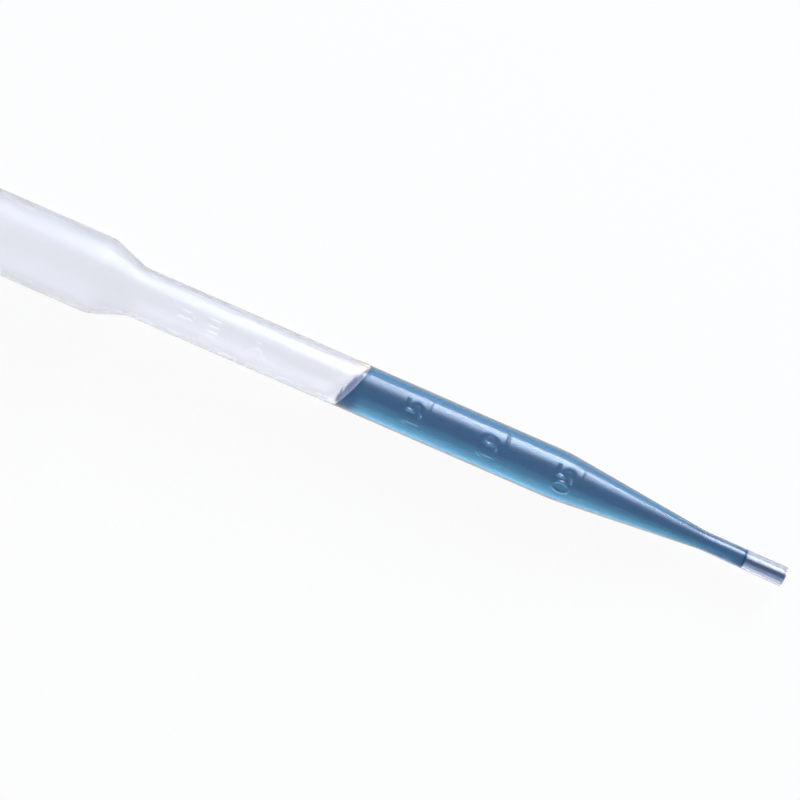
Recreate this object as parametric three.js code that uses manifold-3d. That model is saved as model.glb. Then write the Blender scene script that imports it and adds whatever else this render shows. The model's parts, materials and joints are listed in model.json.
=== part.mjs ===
// A plastic dropper pipette of 3 ml, in millimetres, +Z up.
//
// The pipette is one thin wall of blow-moulded polyethylene, open only at its tip:
// a squeeze bulb, a shoulder, a graduated stem, a taper and a fine tip. A column
// of blue liquid stands in it. The pipette lies on its side as it comes to rest,
// on the bulb's shoulder and the stem's lower end, with its tip towards +X and
// its graduations facing up.

import * as THREE from 'three';
import { mergeVertices } from 'three/addons/utils/BufferGeometryUtils.js';
import Module from 'manifold-3d';

// ---------------------------------------------------------------- driving dimensions

// Lengths along the axis, from the tip's end to the bulb's end.
const tipLength = 14.2;
const taperLength = 24.6;
const stemLength = 73.4;
const shoulderLength = 6.0;
const bulbLength = 41.8;
const domeHeight = 5.6;

// Outside diameters.
const tipEndDiameter = 3.15;
const tipNeckDiameter = 3.0;
const stemLowerDiameter = 7.95;
const stemUpperDiameter = 8.15;
const bulbDiameter = 12.7;

// The hollow inside.
const tipBore = 1.9;
const stemWall = 0.5;
const bulbWall = 0.5;

// How far a corner's soft blend reaches along the outline on each side of it.
const neckBlend = 1.2;
const stemEndBlend = 1.0;
const shoulderFootBlend = 1.2;
const shoulderTopBlend = 1.6;

// The drawn tip leans to one side of the stem's axis by this much at its end.
const tipLean = 0.5;

// Raised lines across the top, half a millilitre apart. The first one is on the
// taper, a little below the stem's lower end.
const lineCount = 6;
const linePitch = 12.92;
const firstLineDrop = 2.9;
const lineWidth = 0.36;
const lineHalfAngle = THREE.MathUtils.degToRad(42);
const reliefHeight = 0.14;

// Raised numbers in millilitres, each on the bulb's side of its line, and the
// unit on the tip's side of the last line.
const lineVolume = 0.5;
const digitHeight = 3.0;
const digitWidth = 2.05;
const characterAdvance = 1.29;
const strokeWidth = 0.36;
const footGap = 1.06;
const unitText = 'ml';
const unitHeight = 2.0;
const unitAdvance = 1.9;

// The mould's parting line runs along both sides and over the bulb's end.
const partingWidth = 0.3;
const partingHeight = 0.08;

// The liquid starts above the tip's end and ends part of the way up the stem,
// in a free surface that tilts to the side and downwards.
const clearTipLength = 6.85;
const liquidStemLength = 35.8;
const liquidClearance = 0.1;
const surfaceTiltSideways = THREE.MathUtils.degToRad(23);
const surfaceTiltDownwards = THREE.MathUtils.degToRad(8.8);

// Flats round the pipette. A multiple of four puts one straight below, one
// straight above and one on each side.
const flats = 24;
const blendSteps = 3;
const domeSteps = 6;
const ovalSteps = 12;

// ---------------------------------------------------------------- stations on the axis

// A station is a distance from the tip's end.
const stemStart = tipLength + taperLength;
const shoulderStart = stemStart + stemLength;
const bulbStart = shoulderStart + shoulderLength;
const totalLength = bulbStart + bulbLength;
const domeStart = totalLength - domeHeight;
const liquidStart = clearTipLength;
const liquidEnd = stemStart + liquidStemLength;

// A cut that opens the tip starts this far outside it.
const overcut = 1;

// ---------------------------------------------------------------- outlines

// Carries a line of (radius, station) points from the axis through corners of
// [station, radius, blend], turning each blended corner on a curve, and closes
// it with a half ellipse from the last corner to the axis.
function outline(corners, end) {
  const points = corners.map(([station, radius]) => new THREE.Vector2(radius, station));
  const last = points[points.length - 1];
  const path = new THREE.Path([new THREE.Vector2(0, points[0].y), points[0]]);
  for (let i = 1; i < points.length - 1; i += 1) {
    const corner = points[i];
    const towards = (other) => corner.clone().add(other.clone().sub(corner).setLength(corners[i][2]));
    const [before, after] = [towards(points[i - 1]), towards(points[i + 1])];
    path.lineTo(before.x, before.y);
    path.quadraticCurveTo(corner.x, corner.y, after.x, after.y);
  }
  path.lineTo(last.x, last.y);
  const curve = path.getPoints(blendSteps);
  for (let i = 1; i < domeSteps; i += 1) {
    const angle = (Math.PI / 2) * (i / domeSteps);
    curve.push(new THREE.Vector2(last.x * Math.cos(angle), last.y + (end - last.y) * Math.sin(angle)));
  }
  return [...curve, new THREE.Vector2(0, end)];
}

// The outside, grown evenly for what stands proud of it.
function outside(growth) {
  return outline([
    [0, tipEndDiameter / 2 + growth],
    [tipLength, tipNeckDiameter / 2 + growth, neckBlend],
    [stemStart, stemLowerDiameter / 2 + growth, stemEndBlend],
    [shoulderStart, stemUpperDiameter / 2 + growth, shoulderFootBlend],
    [bulbStart, bulbDiameter / 2 + growth, shoulderTopBlend],
    [domeStart, bulbDiameter / 2 + growth],
  ], totalLength + growth);
}

// The hollow, shrunk evenly for what stands in it.
function inside(clearance) {
  return outline([
    [-overcut, tipBore / 2 - clearance],
    [tipLength, tipBore / 2 - clearance, neckBlend],
    [stemStart, stemLowerDiameter / 2 - stemWall - clearance, stemEndBlend],
    [shoulderStart, stemUpperDiameter / 2 - stemWall - clearance, shoulderFootBlend],
    [bulbStart, bulbDiameter / 2 - bulbWall - clearance, shoulderTopBlend],
    [domeStart, bulbDiameter / 2 - bulbWall - clearance],
  ], totalLength - bulbWall - clearance);
}

// The radius of an outline at a station, between the two points around it.
function radiusAt(curve, station) {
  const next = curve.findIndex((point) => point.y > station);
  const [low, high] = [curve[next - 1], curve[next]];
  return THREE.MathUtils.mapLinear(station, low.y, high.y, low.x, high.x);
}

// ---------------------------------------------------------------- solids

const wasm = await Module();
wasm.setup();

// Turns an outline round the axis and lays it along X, tip towards +X. Each
// flat touches the true circle from outside, so the lowest one lies a full
// radius below the axis.
function turned(curve) {
  const circumscribed = curve.map((point) => new THREE.Vector2(point.x / Math.cos(Math.PI / flats), point.y));
  return new THREE.LatheGeometry(circumscribed, flats, Math.PI / flats).rotateZ(Math.PI / 2);
}

// A closed mesh as a solid that can be joined and cut. Triangles that the
// axis has collapsed are dropped.
function solid(geometry) {
  geometry.deleteAttribute('normal');
  geometry.deleteAttribute('uv');
  const merged = mergeVertices(geometry);
  const index = merged.index.array;
  const triangles = [];
  for (let i = 0; i < index.length; i += 3) {
    const [a, b, c] = index.slice(i, i + 3);
    if (a !== b && b !== c && c !== a) triangles.push(a, b, c);
  }
  return new wasm.Manifold(new wasm.Mesh({
    numProp: 3,
    vertProperties: merged.attributes.position.array,
    triVerts: new Uint32Array(triangles),
  }));
}

// A solid as a geometry again.
function surface(whole) {
  const mesh = whole.getMesh();
  const geometry = new THREE.BufferGeometry();
  geometry.setAttribute('position', new THREE.BufferAttribute(mesh.vertProperties, mesh.numProp));
  geometry.setIndex(new THREE.BufferAttribute(mesh.triVerts, 1));
  return geometry;
}

// Moves the taper and the tip sideways, in proportion to the distance from the
// stem's lower end.
function leaned(geometry) {
  const place = geometry.attributes.position;
  for (let i = 0; i < place.count; i += 1) {
    const share = Math.max(0, 1 + place.getX(i) / stemStart);
    place.setY(i, place.getY(i) - tipLean * share);
  }
  geometry.computeVertexNormals();
  return geometry;
}

// ---------------------------------------------------------------- figures

// A figure is a list of strokes, each a line of (across, up) points, in a cell
// of a given width and height whose origin is the middle of its foot.
function line(...places) {
  return places.map(([across, up]) => new THREE.Vector2(across, up));
}

// Part of an upright oval, clockwise from one angle in degrees to another.
function oval(centre, width, height, from, to) {
  const [start, end] = [from, to].map(THREE.MathUtils.degToRad);
  const curve = new THREE.EllipseCurve(centre[0], centre[1], width / 2, height / 2, start, end, true);
  return curve.getPoints(ovalSteps);
}

const figures = {
  0: (w, h) => [oval([0, h / 2], w, h, 90, -270)],
  1: (w, h) => [line([-w / 4, h * 0.8], [0, h], [0, 0])],
  2: (w, h) => [[...oval([0, h * 0.7], w, h * 0.6, 170, -30), ...line([-w / 2, 0], [w / 2, 0])]],
  3: (w, h) => [oval([0, h * 0.75], w * 0.9, h * 0.5, 150, -90), oval([0, h * 0.25], w, h * 0.5, 90, -150)],
  5: (w, h) => [
    line([w / 2, h], [-w / 2, h], [-w / 2, h / 2]),
    oval([0, h * 0.3], w, h * 0.6, 150, -150),
  ],
  '.': () => [line([0, -strokeWidth / 2], [0, strokeWidth / 2])],
  m: (w, h) => [
    line([-w / 2, 0], [-w / 2, h]),
    [...oval([-w / 4, h * 0.7], w / 2, h * 0.6, 180, 0), ...line([0, 0])],
    [...oval([w / 4, h * 0.7], w / 2, h * 0.6, 180, 0), ...line([w / 2, 0])],
  ],
  l: (w, h) => [line([0, 0], [0, h])],
};

// One side of a stroke: its middle line moved sideways, with mitred corners.
// A stroke that ends where it began goes round as a ring.
function strokeSide(points, offset) {
  const last = points.length - 1;
  const isRing = points[0].distanceTo(points[last]) < strokeWidth / 2;
  const normal = (from, to) => new THREE.Vector2(from.y - to.y, to.x - from.x).normalize();
  return points.map((point, i) => {
    const before = i > 0 ? points[i - 1] : points[last - 1];
    const after = i < last ? points[i + 1] : points[1];
    const into = i > 0 || isRing ? normal(before, point) : normal(point, after);
    const out = i < last || isRing ? normal(point, after) : normal(before, point);
    const mitre = into.clone().add(out).normalize();
    return point.clone().addScaledVector(mitre, offset / mitre.dot(into));
  });
}

// Text across the top of the pipette, read from side to side with its head
// towards the bulb, as posts that rise through the wall from the axis. Its foot
// is at a station.
function textPosts(text, foot, height, advance) {
  const radius = radiusAt(outside(0), foot);
  const wrap = (point) => new THREE.Vector2(-(foot + point.y), radius * Math.sin(point.x / radius));
  return [...text].flatMap((character, i) => {
    const across = (i - (text.length - 1) / 2) * advance;
    const strokes = figures[character](digitWidth - strokeWidth, height - strokeWidth);
    return strokes.map((points) => {
      const [left, right] = [strokeWidth / 2, -strokeWidth / 2].map((offset) => strokeSide(points, offset)
        .map((point) => wrap(point.add(new THREE.Vector2(across, strokeWidth / 2)))));
      const shape = new THREE.Shape([...left, ...right.reverse()]);
      return new THREE.ExtrudeGeometry(shape, { depth: stemUpperDiameter, bevelEnabled: false });
    });
  });
}

// ---------------------------------------------------------------- sub-parts

// The raised lines, numbers and unit, as posts that reach above the surface.
function scalePosts() {
  const posts = [];
  for (let i = 0; i < lineCount; i += 1) {
    const station = stemStart - firstLineDrop + i * linePitch;
    const halfWidth = radiusAt(outside(0), station) * Math.sin(lineHalfAngle);
    const bar = new THREE.BoxGeometry(lineWidth, 2 * halfWidth, stemUpperDiameter);
    posts.push(bar.translate(-station, 0, stemUpperDiameter / 2));
    const number = ((i + 1) * lineVolume).toFixed(1);
    posts.push(...textPosts(number, station + footGap, digitHeight, characterAdvance));
  }
  const lastLine = stemStart - firstLineDrop + (lineCount - 1) * linePitch;
  posts.push(...textPosts(unitText, lastLine - footGap - unitHeight, unitHeight, unitAdvance));
  return posts;
}

// The blow-moulded body: the outside with its raised scale and parting line,
// less the hollow.
function pipetteBody() {
  const scale = scalePosts().map(solid).reduce((all, post) => all.add(post));
  const sheet = new THREE.BoxGeometry(2 * totalLength, 2 * bulbDiameter, partingWidth);
  const whole = solid(turned(outside(0)))
    .add(scale.intersect(solid(turned(outside(reliefHeight)))))
    .add(solid(sheet.translate(-totalLength, 0, 0)).intersect(solid(turned(outside(partingHeight)))))
    .subtract(solid(turned(inside(0))));
  const polyethylene = new THREE.MeshStandardMaterial({
    color: '#e6e9f0', roughness: 0.3, metalness: 0, transparent: true, opacity: 0.45,
  });
  const mesh = new THREE.Mesh(leaned(surface(whole)), polyethylene);
  mesh.name = 'pipette_body';
  return mesh;
}

// The column of liquid: the hollow between two stations, with its upper face
// tilted.
function blueLiquid() {
  const wall = inside(liquidClearance);
  const ends = [liquidStart, liquidEnd].map((station) => new THREE.Vector2(radiusAt(wall, station), station));
  const between = wall.filter((point) => point.y > liquidStart && point.y < liquidEnd);
  const geometry = turned([
    new THREE.Vector2(0, liquidStart), ends[0], ...between, ends[1], new THREE.Vector2(0, liquidEnd),
  ]);
  const place = geometry.attributes.position;
  const [sideways, downwards] = [surfaceTiltSideways, surfaceTiltDownwards].map(Math.tan);
  for (let i = 0; i < place.count; i += 1) {
    if (place.getX(i) < -(liquidEnd - liquidClearance)) {
      place.setX(i, place.getX(i) + sideways * place.getY(i) + downwards * place.getZ(i));
    }
  }
  const water = new THREE.MeshStandardMaterial({
    color: '#3a5f88', roughness: 0.1, metalness: 0, transparent: true, opacity: 0.85,
  });
  const mesh = new THREE.Mesh(leaned(geometry), water);
  mesh.name = 'blue_liquid';
  return mesh;
}

// ---------------------------------------------------------------- how it lies

// The tilt at which a flat surface touches the outline on both sides of the
// stem's middle, and how far the axis at the tip's end is above that surface.
function restOnSide(curve) {
  const middle = stemStart + stemLength / 2;
  const settlePasses = 8;
  let tilt = 0;
  const reach = (point) => point.x * Math.cos(tilt) - point.y * Math.sin(tilt);
  const lowest = (points) => points.reduce((best, point) => (reach(point) > reach(best) ? point : best));
  for (let pass = 0; pass < settlePasses; pass += 1) {
    const low = lowest(curve.filter((point) => point.y < middle));
    const high = lowest(curve.filter((point) => point.y > middle));
    tilt = Math.atan2(high.x - low.x, high.y - low.y);
  }
  return { tilt, height: reach(lowest(curve)) };
}

const pipette = new THREE.Group();
pipette.add(pipetteBody(), blueLiquid());

const rest = restOnSide(outside(0));
pipette.rotation.y = rest.tilt;
pipette.position.z = rest.height;

const middle = new THREE.Box3().setFromObject(pipette, true).getCenter(new THREE.Vector3());
pipette.position.x -= middle.x;
pipette.position.y -= middle.y;

export default pipette;
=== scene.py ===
# %% [markdown]
# # A plastic dropper pipette with blue liquid
# The real pipette is one thin wall of blow-moulded polyethylene, drawn out into a
# fine tip. Its shape is nearly all a surface of revolution, so the body below is
# worked out with numpy as a radius that depends on two things: how far along the
# pipette a point is, and how far round it is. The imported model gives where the
# pipette lies, and everything else is placed from that.

# %% Load the frame
import json

import bpy
import numpy as np
from mathutils import Matrix

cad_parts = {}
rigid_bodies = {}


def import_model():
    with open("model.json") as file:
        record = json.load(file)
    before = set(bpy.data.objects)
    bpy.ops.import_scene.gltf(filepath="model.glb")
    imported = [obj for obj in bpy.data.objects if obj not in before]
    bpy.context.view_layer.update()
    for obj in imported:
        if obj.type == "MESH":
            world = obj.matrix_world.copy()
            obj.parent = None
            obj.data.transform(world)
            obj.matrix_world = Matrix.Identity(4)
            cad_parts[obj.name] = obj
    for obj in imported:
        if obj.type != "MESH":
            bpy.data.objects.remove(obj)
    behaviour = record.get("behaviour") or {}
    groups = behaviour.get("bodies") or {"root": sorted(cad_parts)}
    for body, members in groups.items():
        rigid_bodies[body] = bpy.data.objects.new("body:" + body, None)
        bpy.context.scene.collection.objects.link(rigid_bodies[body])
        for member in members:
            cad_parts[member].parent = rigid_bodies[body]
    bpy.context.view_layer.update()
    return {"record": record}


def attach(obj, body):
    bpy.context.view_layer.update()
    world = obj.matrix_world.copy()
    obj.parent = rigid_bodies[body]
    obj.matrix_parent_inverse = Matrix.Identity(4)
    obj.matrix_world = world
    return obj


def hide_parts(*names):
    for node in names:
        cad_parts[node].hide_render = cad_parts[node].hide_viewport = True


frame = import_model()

# %% [markdown]
# ## Where the pipette lies
# The record's one mount is the flat ring at the tip's end. Its axis points the way
# the tip points, so it gives the pipette's direction, and its point lies on the
# ring, straight above the bore's centre. A place on the pipette is then given by a
# station, the distance from the tip's end, and by how far it is across and above
# the axis. The drawn tip leans a little to one side of the stem's axis.

# %% Stations along the axis
mm = 0.001

tip_length = 14.2 * mm
taper_length = 24.6 * mm
stem_length = 73.4 * mm
shoulder_length = 6.0 * mm
bulb_length = 41.8 * mm
dome_height = 5.6 * mm

stem_start = tip_length + taper_length
shoulder_start = stem_start + stem_length
bulb_start = shoulder_start + shoulder_length
total_length = bulb_start + bulb_length
dome_start = total_length - dome_height

# The ring at the tip's end, and how far the tip leans to one side.
tip_end_diameter = 3.15 * mm
tip_bore = 1.9 * mm
tip_lean = 0.5 * mm

tip_end = frame["record"]["mounts"][0]
towards_tip = np.array(tip_end["axis"])
sideways = np.array([0.0, 1.0, 0.0])
upwards = np.cross(towards_tip, sideways)
ring_radius = (tip_end_diameter + tip_bore) / 4
axis_start = np.array(tip_end["pos_m"]) - ring_radius * upwards + tip_lean * sideways


def place(station, across, above):
    """Points in the frame: from the axis at the tip's end, back along the axis by
    the station, then across and above. Below the stem the axis leans in
    proportion to the distance from the stem's lower end."""
    leaned = across - tip_lean * np.clip(1 - station / stem_start, 0, None)
    along, aside, over = np.broadcast_arrays(station, leaned, above)
    return (axis_start - along[..., None] * towards_tip
            + aside[..., None] * sideways + over[..., None] * upwards)


tilt = np.degrees(np.arcsin(-towards_tip[2]))
print(f"length {total_length / mm:.1f} mm, axis tilted {tilt:.2f} degrees")

# %% [markdown]
# ## The camera
# The camera looks down on the stem with a long lens, which keeps both sides of the
# tube parallel. It is turned about the line of sight, so that the tip points down
# to the right, and rolled a few degrees about the pipette, so that the raised
# scale sits a little below the middle.

# %% Place the camera
# Blender counts the lens and the sensor in millimetres, and only their ratio matters.
frame_width = 126.8 * mm
lens = 120.0
sensor_width = 36.0
slope = np.radians(23.55)
roll = np.radians(5.0)
centre_station = 67.0 * mm
centre_across = 0.9 * mm

view_back = np.cos(roll) * upwards + np.sin(roll) * sideways
view_side = np.cross(view_back, towards_tip)
view_right = np.cos(slope) * towards_tip + np.sin(slope) * view_side
view_up = np.cos(slope) * view_side - np.sin(slope) * towards_tip
centre = axis_start - centre_station * towards_tip + centre_across * view_side
distance = frame_width * lens / sensor_width

camera_data = bpy.data.cameras.new("camera")
camera_data.lens = lens
camera_data.sensor_width = sensor_width
camera = bpy.data.objects.new("camera", camera_data)
bpy.context.scene.collection.objects.link(camera)
camera_place = centre + distance * view_back
camera_frame = np.eye(4)
camera_frame[:3] = np.column_stack([view_right, view_up, view_back, camera_place])
camera.matrix_world = Matrix(camera_frame.tolist())
bpy.context.scene.camera = camera
print(f"camera {distance:.3f} m away")

# %% [markdown]
# ## The outline
# Moulded corners are never sharp. Each straight stretch of the outline meets the
# next in a soft corner, so the radius is a sum: a first slope, and at each corner
# the change of slope times a ramp that starts softly. The bulb ends in a dome,
# half an ellipse, which is a last factor on the radius.

# %% Radius as a function of the station
tip_neck_diameter = 3.0 * mm
stem_lower_diameter = 7.95 * mm
stem_upper_diameter = 8.15 * mm
bulb_diameter = 12.7 * mm
bulb_draft = 0.04 * mm
stem_wall = 0.5 * mm
bulb_wall = 0.5 * mm

neck_blend = 1.2 * mm
taper_blend = 1.0 * mm
shoulder_blend = 0.35 * mm


def ramp(distance_past, blend):
    """Nought well before a corner and the distance past it well after it. Within
    one blend of the corner it is the parabola that joins the two."""
    parabola = (distance_past + blend) ** 2 / (4 * blend)
    from_corner = np.where(distance_past > blend, distance_past, parabola)
    return np.where(distance_past < -blend, 0, from_corner)


def outline(station, corners, end):
    """Radius at each station. corners are rows of station, radius and blend. From
    the last corner to the end, the radius is multiplied by the square root of one
    less the square of the share of the dome that is behind the station."""
    places, radii, blends = np.array(corners).T
    slopes = np.diff(radii) / np.diff(places)
    radius = radii[0] + slopes[0] * (station - places[0])
    for i in range(1, len(slopes)):
        radius = radius + (slopes[i] - slopes[i - 1]) * ramp(station - places[i], blends[i])
    share = np.clip((station - places[-1]) / (end - places[-1]), 0, 1)
    return radius * np.sqrt(1 - share ** 2)


outer_corners = [
    (0, tip_end_diameter / 2, 0),
    (tip_length, tip_neck_diameter / 2, neck_blend),
    (stem_start, stem_lower_diameter / 2, taper_blend),
    (shoulder_start, stem_upper_diameter / 2, shoulder_blend),
    (bulb_start, bulb_diameter / 2 - bulb_draft, shoulder_blend),
    (dome_start, bulb_diameter / 2, 0),
]
walls = [(tip_end_diameter - tip_bore) / 2, (tip_neck_diameter - tip_bore) / 2,
         stem_wall, stem_wall, bulb_wall, bulb_wall]
inner_corners = [(station, radius - wall, blend)
                 for (station, radius, blend), wall in zip(outer_corners, walls)]


def outer_radius(station):
    """The outside of the body."""
    return outline(station, outer_corners, total_length)


def inner_radius(station):
    """The hollow inside the body."""
    return outline(station, inner_corners, total_length - bulb_wall)


for name, station in [("tip's end", 0), ("stem", shoulder_start), ("bulb", dome_start)]:
    outside = 2 * outer_radius(station) / mm
    inside = 2 * inner_radius(station) / mm
    print(f"{name}: {outside:.2f} mm outside, {inside:.2f} mm inside")

# %% [markdown]
# ## The raised scale
# The mould is engraved, so lines and figures stand a little proud of the wall as
# ridges. Each figure is a list of strokes, and a stroke is a line of points, each
# given by how far it is across and up from the middle of the figure's foot. How far
# the wall is raised at a place depends only on its distance from the nearest
# stroke, which numpy works out for the whole grid at once.

# %% Strokes of the figures
# Both rows of heights start at the tip's side. The scale stands out unevenly, and the
# number that lies over the liquid's upper face is nearly flat.
stroke_width = 0.36 * mm
figure_heights = np.array([0.2, 0.2, 0.2, 0.015, 0.15, 0.15]) * mm
line_heights = np.array([0.03, 0.08, 0.03, 0.01, 0.04, 0.04]) * mm
digit_height = 3.0 * mm
digit_width = 2.05 * mm
character_advance = 1.29 * mm
unit_height = 2.0 * mm
unit_advance = 1.9 * mm
oval_points = 24


def line(*places):
    """A stroke through the given places."""
    return np.array(places, float)


def oval(middle, up, width, height, start, end):
    """A stroke along an upright ellipse: its centre plus half its width times the
    cosine and half its height times the sine of an angle that runs from start to
    end, in degrees."""
    angle = np.radians(np.linspace(start, end, oval_points))
    return np.column_stack([middle + width / 2 * np.cos(angle), up + height / 2 * np.sin(angle)])


def figure(character, w, h):
    """The strokes of one figure in a cell of width w and height h. The numbers are
    shares of the cell, and the degrees start and end the round strokes."""
    dot = stroke_width / 8
    return {
        "0": [oval(0, h / 2, w, h, 90, -270)],
        "1": [line((-w / 4, h * 0.8), (0, h), (0, 0))],
        "2": [np.vstack([oval(0, h * 0.7, w, h * 0.6, 170, -30),
                         line((-w / 2, 0), (w / 2, 0))])],
        "3": [oval(0, h * 0.75, w * 0.9, h * 0.5, 150, -90),
              oval(0, h * 0.25, w, h * 0.5, 90, -150)],
        "5": [line((w / 2, h), (-w / 2, h), (-w / 2, h / 2)),
              oval(0, h * 0.3, w, h * 0.6, 150, -150)],
        ".": [line((0, -dot), (0, dot))],
        "m": [line((-w / 2, 0), (-w / 2, h)),
              np.vstack([oval(-w / 4, h * 0.7, w / 2, h * 0.6, 180, 0), line((0, 0))]),
              np.vstack([oval(w / 4, h * 0.7, w / 2, h * 0.6, 180, 0), line((w / 2, 0))])],
        "l": [line((0, 0), (0, h))],
    }[character]


def text_strokes(text, foot, height, advance):
    """The strokes of a text whose foot is at a station: read across the stem, with
    its head towards the bulb. Returns rows of across and station."""
    cell = (digit_width - stroke_width, height - stroke_width)
    strokes = []
    for i, character in enumerate(text):
        shift = ((i - (len(text) - 1) / 2) * advance, foot + stroke_width / 2)
        strokes += [stroke + shift for stroke in figure(character, *cell)]
    return strokes


# %% Where the scale lies
line_count = 6
line_pitch = 12.92 * mm
first_line = stem_start - 2.9 * mm
line_half_angle = np.radians(42)
foot_gap = 1.06 * mm

line_stations = first_line + line_pitch * np.arange(line_count)
unit_foot = line_stations[-1] - foot_gap - unit_height
unit = text_strokes("ml", unit_foot, unit_height, unit_advance)
marks = [(stroke, figure_heights[-1]) for stroke in unit]
for number, (station, proud) in enumerate(zip(line_stations, figure_heights), 1):
    millilitres = f"{number / 2:.1f}"
    figures = text_strokes(millilitres, station + foot_gap, digit_height, character_advance)
    marks += [(stroke, proud) for stroke in figures]
for station, proud in zip(line_stations, line_heights):
    reach = outer_radius(station) * line_half_angle
    marks.append((line((-reach, station), (reach, station)), proud))
print(len(marks), "raised strokes, lines at", np.round(line_stations / mm, 1), "mm")

# %% How far the wall is raised
flank_width = 0.24 * mm
flank_blend = 0.03 * mm
parting_height = 0.05 * mm
parting_width = 0.3 * mm


def smooth(share):
    """An S-curve from nought to one: three times the square less twice the cube."""
    share = np.clip(share, 0, 1)
    return share ** 2 * (3 - 2 * share)


def distance_to_stroke(across, station, stroke):
    """Distance of each grid point from a stroke. The nearest place on a straight
    piece is its start plus a share of the piece, kept between nought and one, and
    the least distance over all pieces counts."""
    point = np.stack(np.broadcast_arrays(across, station), -1)[..., None, :]
    start, step = stroke[:-1], np.diff(stroke, axis=0)
    share = np.clip(((point - start) * step).sum(-1) / (step ** 2).sum(-1), 0, 1)
    return np.linalg.norm(point - start - share[..., None] * step, axis=-1).min(-1)


def scale_relief(station, angle):
    """Height of the scale over a grid of stations (down) and angles (across). A
    ridge has a straight flank with a soft corner at its foot and at its flat top:
    the flank's slope times the difference of two ramps."""
    height = np.zeros((len(station), len(angle)))
    across = outer_radius(station) * angle
    for stroke, proud in marks:
        lowest = stroke[:, 1].min() - stroke_width
        highest = stroke[:, 1].max() + stroke_width
        near = (station[:, 0] > lowest) & (station[:, 0] < highest)
        away = distance_to_stroke(across[near], station[near], stroke)
        inwards = (stroke_width + flank_width) / 2 - away
        rise = ramp(inwards, flank_blend) - ramp(inwards - flank_width, flank_blend)
        height[near] = np.maximum(height[near], proud / flank_width * rise)
    return height


def parting_relief(radius, angle):
    """Height of the mould's parting line, a low ridge where the wall crosses the
    plane between the mould's halves."""
    off_plane = np.abs(radius * np.cos(angle))
    return parting_height * smooth(1 - off_plane / (parting_width / 2))


# %% [markdown]
# ## The wetted wall
# The liquid covers part of the hollow's wall, so where it starts and ends is settled
# before either mesh is made. Its upper face is tilted, because the pipette was held
# at a slant, and it curls up where it meets the wall. The line where it meets the
# wall becomes a row of both grids, so each can change its material exactly there.

# %% Where the liquid starts and ends
liquid_start = 6.85 * mm
liquid_end = stem_start + 35.8 * mm
tilt_sideways = np.tan(np.radians(23))
tilt_downwards = np.tan(np.radians(8.8))
curl_height = 0.3 * mm
curl_reach = 0.35 * mm
bore_curl = 0.05 * mm


def upper_face(radius, angle):
    """Station of the liquid's upper face: its middle, plus a slope across and a
    slope down, plus a curl that fades with the distance from the wall as an
    exponential."""
    from_wall = np.minimum(radius - inner_radius(liquid_end), 0)
    curl = curl_height * np.exp(from_wall / curl_reach)
    slope_across = tilt_sideways * radius * np.sin(angle)
    slope_down = tilt_downwards * radius * np.cos(angle)
    return liquid_end - slope_across - slope_down + curl


def lower_face(radius):
    """Station of the lower face, a shallow dish: the curl times the square of the
    share of the bore."""
    return liquid_start - bore_curl * (radius / (tip_bore / 2)) ** 2


def contact_line(angle):
    """Station at which the upper face meets the wall."""
    return upper_face(inner_radius(liquid_end), angle)


contact_start = lower_face(tip_bore / 2)
print(f"liquid between {contact_start / mm:.1f} and {contact_line(np.pi / 2) / mm:.1f}"
      f" to {contact_line(-np.pi / 2) / mm:.1f} mm from the tip's end")

# %% [markdown]
# ## The body
# The wall is one closed surface. Its profile starts at the middle of the dome's
# outside, runs down the pipette to the tip, turns round the tip's lip and goes back
# up the inside to the middle of the dome. Each point of the profile becomes a ring.
# The rings and the points on a ring are close together only where the scale stands
# out, which keeps the surface light. Spacing them is a small sum of its own: even
# steps of the integral of one over the wanted step.

# %% Grids with a changing step
lookup_points = 20001


def graded(start, end, step_at):
    """Points from start to end with about the step that step_at gives at each place:
    one over the step is summed along the way, and even shares of the sum are looked
    up again."""
    fine = np.linspace(start, end, lookup_points)
    density = 1 / step_at(fine)
    pieces = (density[1:] + density[:-1]) / 2 * np.diff(fine)
    travelled = np.concatenate([[0], np.cumsum(pieces)])
    count = int(np.ceil(travelled[-1]))
    return np.interp(np.linspace(0, travelled[-1], count + 1), travelled, fine)


# %% Steps along the pipette
plain_step = 1.8 * mm
corner_row_step = 0.25 * mm
corner_margin = 0.6 * mm
scale_row_step = 0.11 * mm
scale_margin = 0.35 * mm


def corner_step(station):
    """A middling step at the corners of the outline, and a coarse one between them."""
    step = np.full(station.shape, plain_step)
    for corner, _, blend in outer_corners[1:-1]:
        step[np.abs(station - corner) < blend + corner_margin] = corner_row_step
    return step


def scale_step(station):
    """A fine step across each line and its figures, and the corners' step elsewhere."""
    step = corner_step(station)
    spans = [(foot, foot + foot_gap + digit_height + scale_margin) for foot in line_stations]
    for start, end in [*spans, (unit_foot, line_stations[-1])]:
        step[(station > start - scale_margin) & (station < end)] = scale_row_step
    return step


# %% Steps round the pipette
plain_turn = np.radians(6)
parting_turn = np.radians(1)
parting_reach = np.radians(3)
line_turn = np.radians(1.5)
line_margin = np.radians(4)
figure_turn = np.radians(0.65)
figure_reach = np.radians(35)


def angle_step(angle):
    """A fine step over the figures, a middling one over the ends of the lines, one to
    cross the parting lines, and a coarse one."""
    step = np.full(angle.shape, plain_turn)
    step[np.abs(np.abs(angle) - np.pi / 2) < parting_reach] = parting_turn
    step[np.abs(angle) < line_half_angle + line_margin] = line_turn
    step[np.abs(angle) < figure_reach] = figure_turn
    return step


angles = graded(-np.pi, np.pi, angle_step)[:-1]
print(len(angles), "points round each ring")


# %% From rings to a closed mesh
sharp_angle = np.radians(60)


def full_rows(parts, round_angles):
    """Stacks parts of a grid, after each row has a value for every angle."""
    return np.vstack([part + 0 * round_angles for part in parts])


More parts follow.
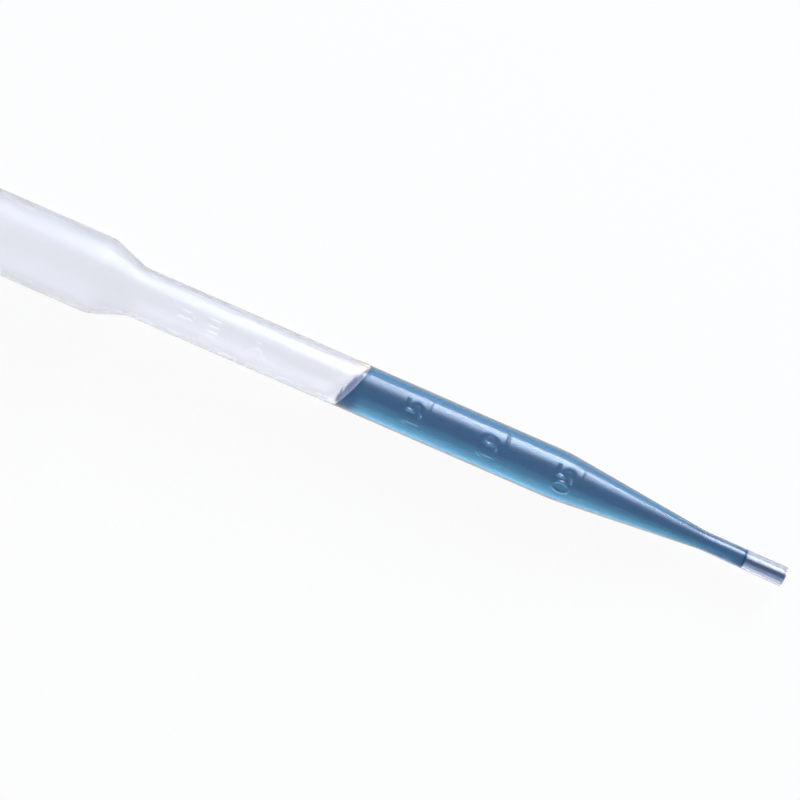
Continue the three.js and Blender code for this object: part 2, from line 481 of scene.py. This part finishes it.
def closed_mesh(name, rings, ends, zones):
    """A closed mesh of rings of points, joined by four-sided faces, with a fan of
    triangles to a point at each end. zones numbers the material of each band, the
    two fans included."""
    rows, columns = rings.shape[:2]
    points = np.vstack([rings.reshape(-1, 3), *ends])
    here = np.arange(rows * columns).reshape(rows, columns)
    beside = np.roll(here, -1, axis=1)
    sides = np.stack([here[:-1], here[1:], beside[1:], beside[:-1]], -1).reshape(-1, 4)
    start_fan = np.stack([here[0], beside[0], np.full(columns, rows * columns)], -1)
    end_fan = np.stack([beside[-1], here[-1], np.full(columns, rows * columns + 1)], -1)
    mesh = bpy.data.meshes.new(name)
    faces = start_fan.tolist() + sides.tolist() + end_fan.tolist()
    mesh.from_pydata(points.tolist(), [], faces)
    mesh.polygons.foreach_set("material_index", np.repeat(zones, columns).astype(np.int32))
    mesh.shade_smooth()
    mesh.set_sharp_from_angle(angle=sharp_angle)
    piece = bpy.data.objects.new(name, mesh)
    bpy.context.scene.collection.objects.link(piece)
    return piece


def measured_volume(piece):
    """The volume a closed mesh holds, positive when its faces point outwards: a
    sixth of the sum, over the triangles, of the triple product of the corners."""
    mesh = piece.data
    mesh.calc_loop_triangles()
    corners = np.empty(len(mesh.loop_triangles) * 3, np.int32)
    mesh.loop_triangles.foreach_get("vertices", corners)
    places = np.empty(len(mesh.vertices) * 3)
    mesh.vertices.foreach_get("co", places)
    a, b, c = places.reshape(-1, 3)[corners.reshape(-1, 3)].transpose(1, 0, 2)
    return (a * np.cross(b, c)).sum() / 6, len(corners) // 3


# %% The outside, from the dome to the tip
lip = 0.1 * mm
dome_rows = 24

dome_stations = dome_start + dome_height * np.sin(np.linspace(np.pi / 2, 0, dome_rows)[1:-1])
side_rows = graded(lip, dome_start, scale_step)[::-1]
outer_stations = np.concatenate([dome_stations, side_rows])[:, None]
outer_radii = outer_radius(outer_stations) + scale_relief(outer_stations, angles)
outer_radii += parting_relief(outer_radius(outer_stations), angles)

# %% The lip at the tip's end
lip_rows = 5

quarter = np.linspace(0, np.pi / 2, lip_rows)
outer_turn = tip_end_diameter / 2 - lip * (1 - np.cos(quarter[1:]))
inner_turn = tip_bore / 2 + lip * (1 - np.sin(quarter[:-1]))
lip_radii = np.concatenate([outer_turn, inner_turn])[:, None]
down_to_end = lip * (1 - np.sin(quarter[1:]))
up_from_end = lip * (1 - np.cos(quarter[:-1]))
lip_stations = np.concatenate([down_to_end, up_from_end])[:, None]

# %% The inside, from the tip to the dome
bore_rows = 8
inner_dome_rows = 16

inner_end = total_length - bulb_wall
dome_turn = np.linspace(0, np.pi / 2, inner_dome_rows)[1:-1]
inner_dome = dome_start + (inner_end - dome_start) * np.sin(dome_turn)


def shares_between(start, end):
    """Shares of the way from one station to another, with the corners' step."""
    length = end - start
    return graded(0, 1, lambda share: corner_step(start + share * length) / length)[:, None]


wet_shares = shares_between(contact_start, liquid_end)
dry_shares = shares_between(liquid_end, dome_start)[1:]


def wet_stations(angle):
    """Stations of the rows on the wetted wall, from one face of the liquid to the
    other."""
    return contact_start + wet_shares * (contact_line(angle) - contact_start)


bore_stations = np.linspace(lip, contact_start, bore_rows)[:-1, None]
dry_stations = contact_line(angles) + dry_shares * (dome_start - contact_line(angles))
inner_parts = [bore_stations, wet_stations(angles), dry_stations, inner_dome[:, None]]
inner_stations = full_rows(inner_parts, angles)

# %% Join them into the body
# The last zone is the bore below the liquid, which carries painted shade.
skin, drawn_tip, wetted_wall, dry_wall, painted_shade_bore = range(5)
stations = full_rows([outer_stations, lip_stations, inner_stations], angles)
radii = full_rows([outer_radii, lip_radii, inner_radius(inner_stations)], angles)
rings = place(stations, radii * np.sin(angles), radii * np.cos(angles))
ends = [place(end, 0.0, 0.0) for end in (total_length, inner_end)]
zones = np.concatenate([
    np.where(outer_stations[:, 0] > contact_start, skin, drawn_tip),
    np.full(len(lip_stations), drawn_tip),
    np.full(len(bore_stations) + 1, painted_shade_bore),
    np.full(len(wet_shares), wetted_wall),
    np.full(len(dry_shares) + len(inner_dome), dry_wall),
])
body = closed_mesh("moulded_body", rings, ends, zones)
volume, triangles = measured_volume(body)
print(f"body: {volume / mm ** 3:.0f} cubic mm of wall, {triangles} triangles")

# %% [markdown]
# ## The liquid
# The liquid wets the wall, so its side follows the hollow with no gap: it reaches a
# few hundredths of a millimetre into the wall, which leaves no film of air to shine
# between the two. Its two free faces are rings too, closer together towards the
# wall, where they curl.

# %% The column of liquid
wetting = 0.04 * mm
round_steps = 96
face_rows = 17
crowding = 0.6

liquid_angles = np.linspace(-np.pi, np.pi, round_steps, endpoint=False)
cap_shares = np.linspace(0, 1, face_rows)[1:-1, None] ** crowding
lower_radii = cap_shares * (tip_bore / 2 + wetting) + 0 * liquid_angles
upper_radii = cap_shares[::-1] * (inner_radius(liquid_end) + wetting) + 0 * liquid_angles
side_stations = wet_stations(liquid_angles)
upper_stations = upper_face(upper_radii, liquid_angles)
liquid_stations = np.vstack([lower_face(lower_radii), side_stations, upper_stations])
liquid_radii = np.vstack([lower_radii, inner_radius(side_stations) + wetting, upper_radii])
liquid_across = liquid_radii * np.sin(liquid_angles)
liquid_above = liquid_radii * np.cos(liquid_angles)
liquid_rings = place(liquid_stations, liquid_across, liquid_above)
liquid_ends = [place(end, 0.0, 0.0) for end in (liquid_end, liquid_start)]

# %% Join them into the liquid
wetted, face = range(2)
millilitre = 1e-6

liquid_zones = np.concatenate([
    np.full(len(upper_radii), face),
    np.full(len(side_stations), wetted),
    np.full(len(lower_radii) + 1, face),
])
liquid = closed_mesh("blue_column", liquid_rings[::-1], liquid_ends, liquid_zones)
volume, triangles = measured_volume(liquid)
print(f"liquid: {volume / millilitre:.2f} ml, {triangles} triangles")

# %% [markdown]
# ## Colours and nodes
# A colour is written as the eye sees it, in sRGB, and the renderer wants it linear,
# so one helper turns the one into the other. A second adds a node and links it in
# one go, and a third starts a material.

# %% Helpers for materials
def colour(code):
    """An sRGB hex colour as linear red, green, blue and a full alpha. The curve and
    its numbers are those of the sRGB standard."""
    srgb = np.array([int(code[i:i + 2], 16) for i in (1, 3, 5)]) / 255
    linear = np.where(srgb <= 0.04045, srgb / 12.92, ((srgb + 0.055) / 1.055) ** 2.4)
    return (*linear.tolist(), 1.0)


def add(tree, kind, inputs=None, **settings):
    """Adds a node. settings are its own properties, and inputs gives, by the name or
    number of a socket, a plain value or the output of another node."""
    node = tree.nodes.new(kind)
    for name, value in settings.items():
        setattr(node, name, value)
    for socket, value in (inputs or {}).items():
        if isinstance(value, bpy.types.NodeSocket):
            tree.links.new(value, node.inputs[socket])
        else:
            node.inputs[socket].default_value = value
    return node


def new_material(name):
    """The nodes of an empty material, and a function that finishes it."""
    material = bpy.data.materials.new(name)
    material.use_nodes = True
    tree = material.node_tree
    tree.nodes.clear()
    output = add(tree, "ShaderNodeOutputMaterial")

    def show(shader):
        """Links a shader to the output and returns the finished material."""
        tree.links.new(shader.outputs[0], output.inputs["Surface"])
        return material

    return tree, show


# %% [markdown]
# ## The plastic's outside
# Polyethylene is clear in a thin sheet and milky in a thick one, because it is partly
# made of tiny crystals. A mould leaves it satin and a little wavy. The shader is
# therefore made of three layers: light that passes through and is blurred on the way,
# soft noise that tips the surface by a hair, and a coat of the same index on top,
# which alone makes the broad, soft highlight. Where liquid stands behind the wall,
# less light comes back out of it, so it looks clearer, bluer and glossier there. The
# real wall is one plastic throughout. Light scattered inside it isn't traced here, so
# the shader paints that change along the liquid's upper face, for this filling only.

# %% Waves in a moulded surface
outer_wave = 2.381 * mm
inner_wave = 1.667 * mm
wave_height = 0.05 * mm
plastic_index = 1.51
no_mirror = (0.0, 0.0, 0.0, 1.0)


def object_place(tree):
    """The place on the object, which for an unturned object is the place in metres."""
    return add(tree, "ShaderNodeTexCoord").outputs["Object"]


def wavy(tree, wave, detail):
    """The direction a surface faces once soft noise, its waves as long as given, has
    raised and lowered it."""
    noise = add(tree, "ShaderNodeTexNoise", {
        "Vector": object_place(tree), "Scale": 1 / wave, "Detail": detail,
    })
    bump = add(tree, "ShaderNodeBump", {
        "Height": noise.outputs["Fac"], "Strength": 0.3, "Distance": wave_height,
    })
    return bump.outputs["Normal"]


# %% Blow-moulded polyethylene
fade = 0.5 * mm


def backed_by_liquid(tree):
    """One where the liquid stands behind the wall, nought where air does. The upper
    face is a plane, so the height above it is a dot product with the direction that
    it faces, and the share changes from one to nought as that height passes nought."""
    facing = tilt_sideways * sideways + tilt_downwards * upwards - towards_tip
    level = liquid_end + axis_start @ facing
    height = add(tree, "ShaderNodeVectorMath", {
        0: object_place(tree), 1: facing.tolist(),
    }, operation="DOT_PRODUCT")
    share = add(tree, "ShaderNodeMapRange", {
        "Value": height.outputs["Value"], "From Min": level + fade, "From Max": level - fade,
    })
    return share.outputs["Result"]


def outer_skin():
    """Natural low-density polyethylene as it leaves the mould: satin, clear and almost
    without colour."""
    tree, show = new_material("blow-moulded LDPE")
    backed = backed_by_liquid(tree)
    tint = add(tree, "ShaderNodeMix", {
        "Factor": backed, 6: colour("#f1f2f9"), 7: colour("#c4e2ee"),
    }, data_type="RGBA")
    blur = add(tree, "ShaderNodeMapRange", {"Value": backed, "To Min": 0.25, "To Max": 0.14})
    gloss = add(tree, "ShaderNodeMapRange", {"Value": backed, "To Min": 0.35, "To Max": 0.9})
    facing = wavy(tree, outer_wave, detail=2.0)
    return show(add(tree, "ShaderNodeBsdfPrincipled", {
        "Base Color": tint.outputs[2], "Roughness": blur.outputs["Result"],
        "IOR": plastic_index, "Transmission Weight": 1.0, "Specular Tint": no_mirror,
        "Coat Weight": gloss.outputs["Result"], "Coat Roughness": 0.32,
        "Coat IOR": plastic_index, "Normal": facing, "Coat Normal": facing,
    }))


def tip_skin():
    """The same plastic where it is drawn out hot to the tip: stretching lines up its
    crystals, so it turns clear and smooth, and its thick wall looks lilac."""
    tree, show = new_material("drawn LDPE tip")
    return show(add(tree, "ShaderNodeBsdfPrincipled", {
        "Base Color": colour("#c6cadf"), "Roughness": 0.1, "IOR": plastic_index,
        "Transmission Weight": 1.0, "Specular Tint": (0.2, 0.2, 0.2, 1.0),
    }))


# %% [markdown]
# ## The plastic's inside
# The wall of the hollow touches air or water, and each looks different.
# Air shows up its fine roughness, so the empty stem and the bulb are milky. Water has
# nearly the index of the plastic and fills the roughness, so the wall all but
# vanishes. Below the liquid the bore is bare again, and painted shade stands in for the
# shade seen through it: a colour painted across the bore as it looks from above, dark
# in the middle, where the eye looks through the bore, and paler at both sides.

# %% The hollow's wall
def wetted_skin():
    """The inside where water covers it: smooth, with the waves of the blown wall."""
    tree, show = new_material("wetted LDPE")
    return show(add(tree, "ShaderNodeBsdfPrincipled", {
        "Base Color": colour("#f4f6fa"), "Roughness": 0.1, "IOR": plastic_index,
        "Transmission Weight": 1.0, "Specular Tint": no_mirror,
        "Normal": wavy(tree, inner_wave, detail=1.0),
    }))


def dry_skin():
    """The inside where air touches it: slightly rough, and a tenth of the light is
    scattered by the wall, which makes it milky. It mirrors as plastic does, and near
    the stem's edges, where light meets it at a slant, it mirrors all of it."""
    tree, show = new_material("dry LDPE")
    return show(add(tree, "ShaderNodeBsdfPrincipled", {
        "Base Color": colour("#f6f6f6"), "Roughness": 0.25, "IOR": plastic_index,
        "Transmission Weight": 0.9,
    }))


# %% The bore below the liquid
# Painted shade across the bore: shares of its width and their colours, dark near the middle.
painted_shade_stops = [(0.22, "#9fb3c8"), (0.34, "#5a6b7e"), (0.6, "#5a6b7e"), (0.72, "#f4f4fa")]


def painted_shade_bore_skin():
    """The bore below the liquid, with painted shade standing in for the shade seen through it:
    its colour is looked up by how far across the bore a place is."""
    tree, show = new_material("LDPE bore with painted shade")
    aside = add(tree, "ShaderNodeSeparateXYZ", {0: object_place(tree)}).outputs["Y"]
    middle = place(contact_start, 0.0, 0.0)[1]
    share = add(tree, "ShaderNodeMapRange", {
        "Value": aside, "From Min": middle - tip_bore / 2, "From Max": middle + tip_bore / 2,
    })
    painted_shade_ramp = add(tree, "ShaderNodeValToRGB", {"Fac": share.outputs["Result"]})
    stops = painted_shade_ramp.color_ramp.elements
    for share_across, _ in painted_shade_stops[2:]:
        stops.new(share_across)
    for stop, (share_across, code) in zip(stops, painted_shade_stops):
        stop.position = share_across
        stop.color = colour(code)
    return show(add(tree, "ShaderNodeBsdfPrincipled", {
        "Base Color": painted_shade_ramp.outputs["Color"], "Roughness": 0.05, "IOR": plastic_index,
        "Transmission Weight": 1.0, "Specular Tint": (0.1, 0.1, 0.1, 1.0),
    }))


# %% [markdown]
# ## The liquid
# Water with a dye lets blue and some green through and swallows red. It is quite
# clear, so most of its shading comes from what it refracts: a filled round tube is a
# strong lens, with a dark core and bright edges. The dye is a tint on the liquid's
# faces, a simple stand-in that doesn't deepen with the light's way through the water.
# Its free faces are seen at a slant through the milky wall, as a pale lilac ring, and
# that lilac is painted light: the free faces carry a paler, lilac copy of the dye.

# %% Dyed water
def blue_water():
    """Water with a blue dye, where it touches the wall."""
    tree, show = new_material("dyed water")
    return show(add(tree, "ShaderNodeBsdfPrincipled", {
        "Base Color": colour("#2d5f87"), "Roughness": 0.0, "IOR": 1.333,
        "Transmission Weight": 1.0, "Specular Tint": no_mirror,
    }))


def water_face():
    """The two free faces, given a paler, lilac copy of the dye's colour as painted light. An
    index between air's and water's keeps total reflection from turning the slanted face black."""
    tree, show = new_material("free face of dyed water")
    return show(add(tree, "ShaderNodeBsdfPrincipled", {
        "Base Color": colour("#5c5cb4"), "Roughness": 0.1, "IOR": 1.2,
        "Transmission Weight": 1.0, "Specular Tint": (0.3, 0.3, 0.3, 1.0),
    }))


# %% Give the pieces their materials
body_skins = [outer_skin(), tip_skin(), wetted_skin(), dry_skin(), painted_shade_bore_skin()]
liquid_skins = [blue_water(), water_face()]
for piece, skins in [(body, body_skins), (liquid, liquid_skins)]:
    for material in skins:
        piece.data.materials.append(material)
    print(piece.name, "is made of", ", ".join(material.name for material in skins))

# %% [markdown]
# ## Fit the pieces to the frame
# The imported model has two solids, and each of the two surfaces takes the place of one
# of them. Both belong to the one rigid body, since the pipette has no joint.

# %% Fit the pieces
fitted = [(body, "pipette_body", "polyethylene"), (liquid, "blue_liquid", "blue_liquid")]
for piece, node_name, slot in fitted:
    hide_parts(node_name)
    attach(piece, "root")
print(len(fitted), "pieces ride the body root")

# %% [markdown]
# ## The floor and the sky
# The background is plain white. It gets that from what camera, mirror and refracted
# rays find on the floor and in the sky, and not from more light on the pipette. A
# small part of the floor's look is a real matt board, and that part holds the
# pipette's soft shadow. Refracted rays pass the board, so that clear things show the
# white and the lamps behind it.

# %% Rays that see the background
def background_rays(tree):
    """The first output is one for the rays that show the background: straight from
    the camera, mirrored or refracted. It is nought for the rays that light a surface.
    The second is one for refracted rays alone."""
    path = add(tree, "ShaderNodeLightPath").outputs
    refracted = path["Is Transmission Ray"]
    direct = add(tree, "ShaderNodeMath", {
        0: path["Is Camera Ray"], 1: path["Is Glossy Ray"],
    }, operation="MAXIMUM")
    seen = add(tree, "ShaderNodeMath", {
        0: direct.outputs[0], 1: refracted,
    }, operation="MAXIMUM")
    return seen.outputs[0], refracted


# %% The floor
floor_half = 2.0
glow_share = 0.94
white = (1.0, 1.0, 1.0, 1.0)


def pale_floor():
    """A matt white board: a plain white glow, with a share of lit board mixed in."""
    tree, show = new_material("matt white board")
    board = add(tree, "ShaderNodeBsdfDiffuse", {"Color": colour("#f2f2f2")})
    glow = add(tree, "ShaderNodeEmission", {"Color": white, "Strength": 1.0})
    seen, refracted = background_rays(tree)
    share = add(tree, "ShaderNodeMath", {0: seen, 1: glow_share}, operation="MULTIPLY")
    surface = add(tree, "ShaderNodeMixShader", {
        0: share.outputs[0], 1: board.outputs[0], 2: glow.outputs[0],
    })
    clear = add(tree, "ShaderNodeBsdfTransparent")
    return show(add(tree, "ShaderNodeMixShader", {
        0: refracted, 1: surface.outputs[0], 2: clear.outputs[0],
    }))


corners = floor_half * np.array([(-1, -1, 0), (1, -1, 0), (1, 1, 0), (-1, 1, 0)])
floor_mesh = bpy.data.meshes.new("floor")
floor_mesh.from_pydata(corners.tolist(), [], [(0, 1, 2, 3)])
floor_mesh.materials.append(pale_floor())
floor = bpy.data.objects.new("floor", floor_mesh)
bpy.context.scene.collection.objects.link(floor)

# %% The sky
room_light = 0.3

world = bpy.data.worlds.new("studio")
world.use_nodes = True
bpy.context.scene.world = world
tree = world.node_tree
tree.nodes.clear()
seen, _ = background_rays(tree)
strength = add(tree, "ShaderNodeMapRange", {"Value": seen, "To Min": room_light, "To Max": 1.0})
sky = add(tree, "ShaderNodeBackground", {"Color": white, "Strength": strength.outputs[0]})
add(tree, "ShaderNodeOutputWorld", {"Surface": sky.outputs[0]})

# %% [markdown]
# ## The lamps
# One large softbox above the pipette makes the long highlight on its upper side. It is
# three rectangles, one within the other, so its edge fades as a real softbox's does.
# A weaker one carries on over the bulb. Panels close behind the liquid light what its
# lens turns towards the eye: the further down a place lies on the tube, the more its
# ray is bent, so four warm panels side by side give the edge its steps from dark blue
# to pale cyan. A cool panel does the same for the upper edge, and a pale one behind
# the empty stem draws bright lines on the scale there. These steps belong to the lamps
# and not to the dye: without the panels the liquid is an even dark blue.

# %% A softbox
def around(angle):
    """The direction at an angle round the pipette from the camera's line of sight,
    positive towards the side that shows above."""
    return np.cos(np.radians(angle)) * view_back + np.sin(np.radians(angle)) * view_side


def softbox(name, away, angles, reach, radiance, tint):
    """A rectangular lamp that looks at the pipette. It spans two angles round the
    line of sight, and reaches from one distance to another along the pipette,
    counted towards the tip. Its power is its radiance times pi times its area."""
    lamp = bpy.data.lights.new(name, "AREA")
    lamp.shape = "RECTANGLE"
    lamp.size = reach[1] - reach[0]
    lamp.size_y = 2 * away * np.tan(np.radians((angles[1] - angles[0]) / 2))
    lamp.energy = radiance * np.pi * lamp.size * lamp.size_y
    lamp.color = colour(tint)[:3]
    holder = bpy.data.objects.new(name, lamp)
    bpy.context.scene.collection.objects.link(holder)
    back = around(sum(angles) / 2)
    middle = centre + away * back + sum(reach) / 2 * towards_tip
    turn = np.eye(4)
    turn[:3] = np.column_stack([towards_tip, np.cross(back, towards_tip), back, middle])
    holder.matrix_world = Matrix(turn.tolist())


# %% The lamps above
softbox_away = 1.0
nesting = 0.002
key_angles = [(40, 98), (50, 92), (58, 86)]
key_reach = (-0.03, 0.33)
fill_reach = (-0.4, -0.03)
key_radiance = 10.5
fill_radiance = 0.8
daylight = "#d2e4ff"

for i, angles_round in enumerate(key_angles):
    away = softbox_away + i * nesting
    softbox(f"key_{i}", away, angles_round, key_reach, key_radiance, daylight)
softbox("fill", softbox_away, key_angles[0], fill_reach, fill_radiance, daylight)

# %% The panels behind
# Each panel is given by the angles that it spans, counted from straight behind, and
# its radiance. The warm panels have about 0.65 of the radiances that a separate program
# found in a least-squares fit of the lamps. The cool panel's radiance and the tint of
# the softbox are as that fit gave them, rounded.
panel_away = 25 * mm
stem_panel_away = 60 * mm
liquid_reach = (-6.5 * mm, 62 * mm)
stem_reach = (-120 * mm, -6.5 * mm)
warm_panels = [(3, 10, 1.5), (10, 18, 4.5), (18, 26, 6.9), (26, 36, 13.3)]
behind = 180

for i, (start, end, radiance) in enumerate(warm_panels):
    below = (behind - end, behind - start)
    softbox(f"backlight_{i}", panel_away, below, liquid_reach, radiance, "#ffc99a")
softbox("rim", panel_away, (behind + 20, behind + 36), liquid_reach, 2.0, "#40ffe4")
softbox("low_rim", stem_panel_away, (behind + 18, behind + 64), stem_reach, 0.6, "#f0f2ff")
print(len(bpy.data.lights), "lamps")

bpy.context.scene.view_settings.view_transform = "Standard"
